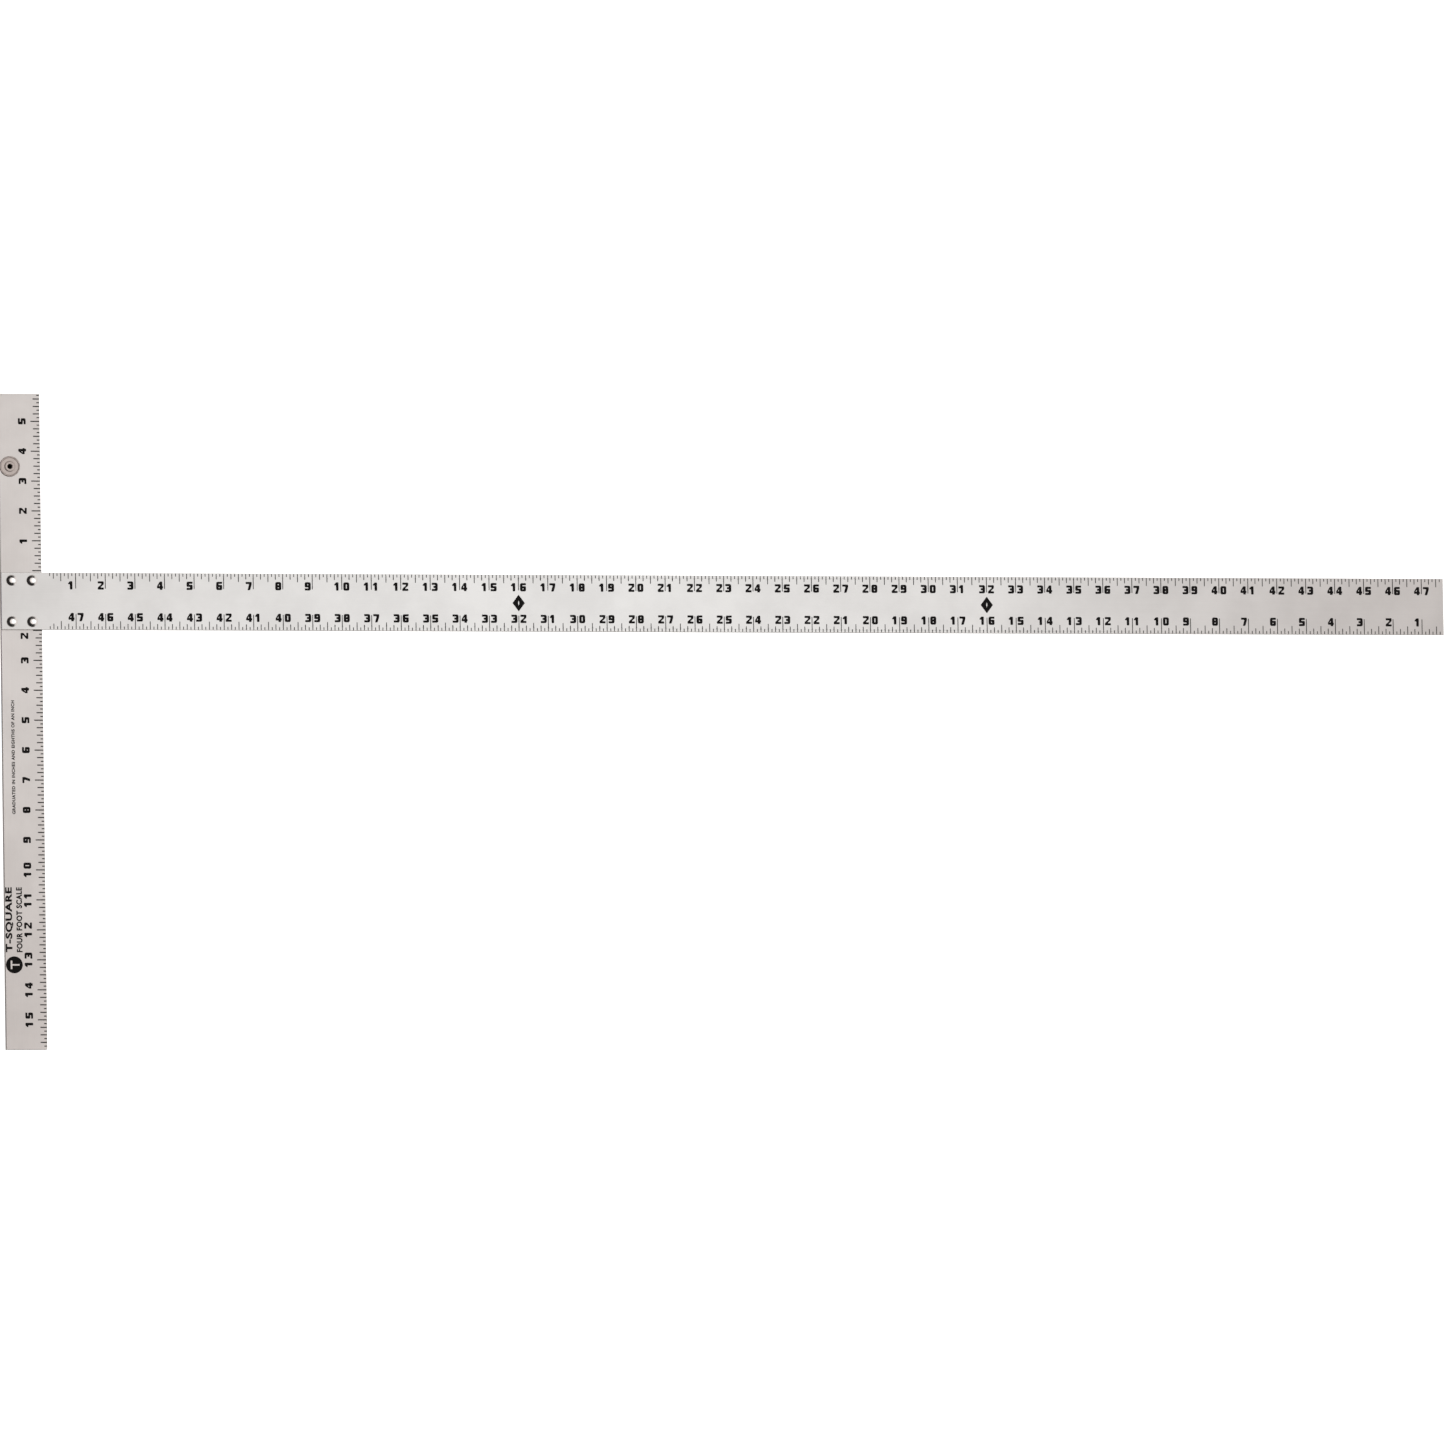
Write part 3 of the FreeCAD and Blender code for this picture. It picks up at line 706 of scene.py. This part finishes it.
# %% Head numerals
HEAD_DIGIT_WIDTH = 5.2 * MM
HEAD_DIGIT_REACH = 3.6 * MM
HEAD_ZERO_GAP = 2.0 * MM
HEAD_ZERO = BLADE_HALF_WIDTH + HEAD_ZERO_GAP
HEAD_INCHES = range(-15, 6)
HIDDEN_INSIDE = BLADE_HALF_WIDTH - 1.0 * MM
row_low, row_high = (Vector(corner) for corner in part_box("head_numerals"))
column = (row_low.x + row_high.x) / 2
digit_height = row_high.x - row_low.x
clear_of_blade = BLADE_HALF_WIDTH + HEAD_DIGIT_WIDTH
bm = bmesh.new()
for inches in HEAD_INCHES:
    tick = HEAD_ZERO + inches * INCH
    if abs(tick) < HIDDEN_INSIDE or inches == 0:
        continue
    if abs(tick) < clear_of_blade:
        tick = -clear_of_blade
    digits = str(abs(inches))
    places = [tick] if len(digits) == 1 else [tick - HEAD_DIGIT_REACH, tick + HEAD_DIGIT_REACH]
    for digit, y in zip(digits, places):
        place = (column, y, HEAD_TOP, HEAD_DIGIT_WIDTH, digit_height, QUARTER_TURN)
        stamp(bm, *centred_digit(digit, *place))
new_piece("head_numerals_print", bm, ink_material, "black_ink", "head_numerals")

# %% [markdown]
# ## The panel on the long arm
#
# Tools of this kind carry a few words on the head.  Here they only say what the tool
# is and how it is divided, beside a round badge with a T left bare in it.  The words
# are text curves made into meshes, then turned to read along the head.

# %% Words
TITLE_HEIGHT = 6.8 * MM
SUBTITLE_HEIGHT = 5.0 * MM
NOTE_HEIGHT = 2.8 * MM
BOLDNESS = 0.04
LETTER_SPACING = 1.1
LINE_LENGTH = 55.0 * MM
NOTE_LENGTH = 96.5 * MM
BADGE_DIAMETER = 14.4 * MM
BADGE_GAP = 3.5 * MM
NOTE_COLUMN = -8.7 * MM
panel_low, panel_high = (Vector(corner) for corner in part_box("printed_panel"))


def words_mesh(words):
    """A line of capitals as a thin block, from 0 to 1 along X and along Y."""
    text = bpy.data.curves.new("words", "FONT")
    text.body = words
    text.extrude = 0.5
    text.offset = BOLDNESS
    text.space_character = LETTER_SPACING
    text.resolution_u = 5
    mesh = curve_to_mesh(text)
    xs = [vertex.co.x for vertex in mesh.vertices]
    ys = [vertex.co.y for vertex in mesh.vertices]
    size = Matrix.Diagonal((1 / (max(xs) - min(xs)), 1 / (max(ys) - min(ys)), 1, 1))
    mesh.transform(size @ Matrix.Translation((-min(xs), -min(ys), 0)))
    return mesh


def set_line(bm, words, foot_x, start_y, height, length):
    """Sets a line whose letters' feet are at foot_x and which reads towards +Y."""
    place = print_place(foot_x, start_y, HEAD_TOP, (length, height), QUARTER_TURN)
    stamp(bm, words_mesh(words), place)


# %% Badge
BADGE_POINTS = 8
T_OUTLINE = [(-0.09, -0.62), (0.09, -0.62), (0.09, 0.24), (0.50, 0.24), (0.50, 0.44),
             (-0.50, 0.44), (-0.50, 0.24), (-0.09, 0.24)]


def badge_mesh():
    """A black disc of radius 1 with a T left bare."""
    curve = bpy.data.curves.new("badge", "CURVE")
    curve.dimensions = "2D"
    curve.fill_mode = "BOTH"
    curve.resolution_u = BADGE_POINTS
    curve.extrude = 0.5
    disc = curve.splines.new("BEZIER")
    disc.bezier_points.add(3)
    disc.use_cyclic_u = True
    for quarter, point in enumerate(disc.bezier_points):
        spoke = Vector((1, 0, 0))
        spoke.rotate(Euler((0, 0, quarter * QUARTER_TURN)))
        along = Vector((-spoke.y, spoke.x, 0)) * ROUND_HANDLE
        point.handle_left_type = point.handle_right_type = "FREE"
        point.co = spoke
        point.handle_left, point.handle_right = spoke - along, spoke + along
    knockout = curve.splines.new("POLY")
    knockout.points.add(len(T_OUTLINE) - 1)
    knockout.use_cyclic_u = True
    for point, (x, y) in zip(knockout.points, T_OUTLINE):
        point.co = (x, y, 0, 1)
    return curve_to_mesh(curve)


badge_radius = BADGE_DIAMETER / 2
line_foot = panel_low.x + BADGE_DIAMETER
line_start = panel_low.y + BADGE_DIAMETER + BADGE_GAP
note_start = panel_high.y - NOTE_LENGTH
bm = bmesh.new()
stamp(bm, badge_mesh(), print_place(
    panel_low.x + badge_radius, panel_low.y + badge_radius, HEAD_TOP,
    (badge_radius, badge_radius), QUARTER_TURN))
set_line(bm, "T-SQUARE", panel_low.x + TITLE_HEIGHT, line_start, TITLE_HEIGHT, LINE_LENGTH)
set_line(bm, "FOUR FOOT SCALE", line_foot, line_start, SUBTITLE_HEIGHT, LINE_LENGTH)
set_line(bm, "GRADUATED IN INCHES AND EIGHTHS OF AN INCH", NOTE_COLUMN + NOTE_HEIGHT / 2,
         note_start, NOTE_HEIGHT, NOTE_LENGTH)
new_piece("printed_panel_print", bm, ink_material, "black_ink", "printed_panel")

# %% [markdown]
# ## Rivets
#
# Each rivet is turned: half of its section is drawn as a chain of points and spun
# round its own axis.  The head is a spherical cap, so its points come from the
# circle's formula.  The tail fills the countersink under the head bar.  Half a ball
# set on a cylinder would be quicker, but it would have no rim to catch the light.

# %% Spinning a section
SPIN_STEPS = 64


def spin_section(section, centre):
    """A closed turned solid from a half section of (radius, height) points."""
    bm = bmesh.new()
    ring = [bm.verts.new((centre.x + radius, centre.y, z)) for radius, z in section]
    chain = [bm.edges.new(pair) for pair in zip(ring, ring[1:])]
    bmesh.ops.spin(
        bm, geom=ring + chain, cent=(centre.x, centre.y, 0), axis=UP,
        angle=2 * math.pi, steps=SPIN_STEPS, use_merge=True,
    )
    bmesh.ops.remove_doubles(bm, verts=bm.verts, dist=1e-7)
    bmesh.ops.recalc_face_normals(bm, faces=bm.faces)
    return bm


def soften_rings(bm, centre, rings, width, segments=3):
    """Bevels the round edges that lie on the given (radius, height) rings."""
    axis = Vector((centre.x, centre.y))

    def on_ring(vertex, ring):
        radius, z = ring
        return abs((vertex.co.xy - axis).length - radius) < 1e-6 and abs(vertex.co.z - z) < 1e-6

    edges = [
        edge for edge in bm.edges
        if any(all(on_ring(vertex, ring) for vertex in edge.verts) for ring in rings)
    ]
    bmesh.ops.bevel(
        bm, geom=edges, offset=width, offset_type="OFFSET", affect="EDGES",
        segments=segments, profile=0.5, material=-1,
    )
    print("bevelled", len(edges), "edges")


def shade_turned(piece, sharp_degrees=40):
    """Smooth shading that keeps real corners sharp."""
    for polygon in piece.data.polygons:
        polygon.use_smooth = True
    piece.data.set_sharp_from_angle(angle=math.radians(sharp_degrees))


# %% Rivet metal
rivet_metal, tree, shader = new_material("rivet_metal")
point = object_point(tree)
dents = noise(tree, point, detail=2, roughness=0.5, scale=650.0)
hairlines = use_group(tree, hairline_group, {"Vector": point})
tree.links.new(
    mix_colour(tree, dents, (0.80, 0.79, 0.78, 1), (0.90, 0.895, 0.89, 1)), shader.inputs["Base Color"])
rough = math_node(tree, "MULTIPLY_ADD", dents, 0.10, 0.09)
rough = math_node(tree, "MULTIPLY_ADD", hairlines["Mask"], 0.2, rough)
tree.links.new(rough, shader.inputs["Roughness"])
dent_bump = add_node(tree, "ShaderNodeBump", {"Strength": 0.25, "Distance": 0.03 * MM, "Height": dents})
tree.links.new(dent_bump.outputs[0], shader.inputs["Normal"])
shader.inputs["Metallic"].default_value = 1.0
print("rivet metal ready")

# %% Make the rivets
RIVET_SHANK_RADIUS = 2.4 * MM
RIVET_FLARE = 1.1 * MM
RIVET_RIM = 0.35 * MM
RIVET_ROUNDING = 0.12 * MM
DOME_POINTS = 12


def rivet_section(tail, seat, crown, head_radius):
    """Half of a rivet's section, from the tail's middle up to the crown."""
    rim = seat + RIVET_RIM
    rise = crown - rim
    ball = (head_radius ** 2 + rise ** 2) / (2 * rise)
    spread = math.asin(head_radius / ball)
    section = [
        (0, tail),
        (RIVET_SHANK_RADIUS + RIVET_FLARE, tail),
        (RIVET_SHANK_RADIUS, tail + RIVET_FLARE),
        (RIVET_SHANK_RADIUS, seat),
        (head_radius, seat),
        (head_radius, rim),
    ]
    for step in range(1, DOME_POINTS + 1):
        angle = spread * (1 - step / DOME_POINTS)
        section.append((ball * math.sin(angle), crown - ball * (1 - math.cos(angle))))
    return section


for column_name in ("outer", "inner"):
    for row_name in ("upper", "lower"):
        node = f"rivet_{column_name}_{row_name}"
        low, high = (Vector(corner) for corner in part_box(node))
        centre = (low + high) / 2
        head_radius = (high.x - low.x) / 2
        bm = spin_section(rivet_section(low.z, BLADE_TOP, high.z, head_radius), centre)
        soften_rings(bm, centre, [(head_radius, BLADE_TOP + RIVET_RIM)], RIVET_ROUNDING)
        rivet = new_piece(f"{node}_turned", bm, rivet_metal, "rivet_metal", node)
        shade_turned(rivet)

# %% [markdown]
# ## The hanging hole's eyelet
#
# A dished steel eyelet lines the hole that the square hangs by.  It is turned like
# the rivets, with a rolled rim, a raised collar round the bore and a flare under the
# head.  Its plating is dull and brownish, and darker in broken patches near the rim.

# %% Eyelet metal
DARK_RIM_START = 0.9 * MM
DARK_RIM_FULL = 0.4 * MM
eyelet_metal, tree, shader = new_material("eyelet_metal")
point = add_node(
    tree, "ShaderNodeMapping",
    {"Vector": object_point(tree), "Location": (-eyelet_centre.x, -eyelet_centre.y, 0)},
).outputs[0]
flat = stretched(tree, point, (1, 1, 0))
radius = add_node(tree, "ShaderNodeVectorMath", {0: flat}, operation="LENGTH").outputs["Value"]
blotch = noise(tree, point, detail=4, roughness=0.65, scale=420.0)
towards_dark_rim = smooth_step(tree, radius, eyelet_radius - DARK_RIM_START, eyelet_radius - DARK_RIM_FULL)
broken = smooth_step(tree, blotch, 0.42, 0.56)
plating = mix_colour(tree, blotch, (0.44, 0.385, 0.362, 1), (0.60, 0.545, 0.520, 1))
# The plating turns darker in broken patches over the outer millimetre of the rim.
rim_darkening = math_node(tree, "MULTIPLY", math_node(tree, "MULTIPLY", towards_dark_rim, broken), 0.75)
tree.links.new(mix_colour(tree, rim_darkening, plating, (0.16, 0.13, 0.12, 1)), shader.inputs["Base Color"])
tree.links.new(math_node(tree, "MULTIPLY_ADD", blotch, 0.25, 0.25), shader.inputs["Roughness"])
shader.inputs["Metallic"].default_value = 1.0
turning = add_node(
    tree, "ShaderNodeTexWave", {"Vector": flat, "Scale": 300.0, "Distortion": 0.6, "Detail": 1.0},
    wave_type="RINGS", rings_direction="Z",
).outputs["Fac"]
turning_bump = add_node(tree, "ShaderNodeBump", {"Strength": 0.3, "Distance": 0.03 * MM, "Height": turning})
tree.links.new(turning_bump.outputs[0], shader.inputs["Normal"])
print("eyelet centre", [round(1000 * v, 2) for v in eyelet_centre])

# %% Make the eyelet
BORE_RADIUS = 2.1 * MM
BARREL_RADIUS = 3.2 * MM
COLLAR_RADIUS = 3.9 * MM
DISH_INNER = 4.7 * MM
DISH_OUTER = 7.2 * MM
EYELET_FLARE = 1.1 * MM
DISH_SLOPE = 0.4 * MM
WEB = HEAD_TOP + 0.45 * MM
RIM_ROUNDING = 0.28 * MM
eyelet_section = [
    (BORE_RADIUS, eyelet_low.z),
    (BARREL_RADIUS + EYELET_FLARE, eyelet_low.z),
    (BARREL_RADIUS, eyelet_low.z + EYELET_FLARE),
    (BARREL_RADIUS, HEAD_TOP),
    (eyelet_radius, HEAD_TOP),
    (eyelet_radius, eyelet_high.z),
    (DISH_OUTER + DISH_SLOPE, eyelet_high.z),
    (DISH_OUTER, WEB),
    (DISH_INNER, WEB),
    (COLLAR_RADIUS, eyelet_high.z),
    (BORE_RADIUS, eyelet_high.z),
    (BORE_RADIUS, eyelet_low.z),
]
bm = spin_section(eyelet_section, eyelet_centre)
soft_rings = [
    (eyelet_radius, eyelet_high.z),
    (DISH_OUTER + DISH_SLOPE, eyelet_high.z),
    (COLLAR_RADIUS, eyelet_high.z),
    (BORE_RADIUS, eyelet_high.z),
]
soften_rings(bm, eyelet_centre, soft_rings, RIM_ROUNDING, segments=4)
eyelet = new_piece("hang_eyelet_turned", bm, eyelet_metal, "eyelet_metal", "hang_eyelet")
shade_turned(eyelet, sharp_degrees=25)
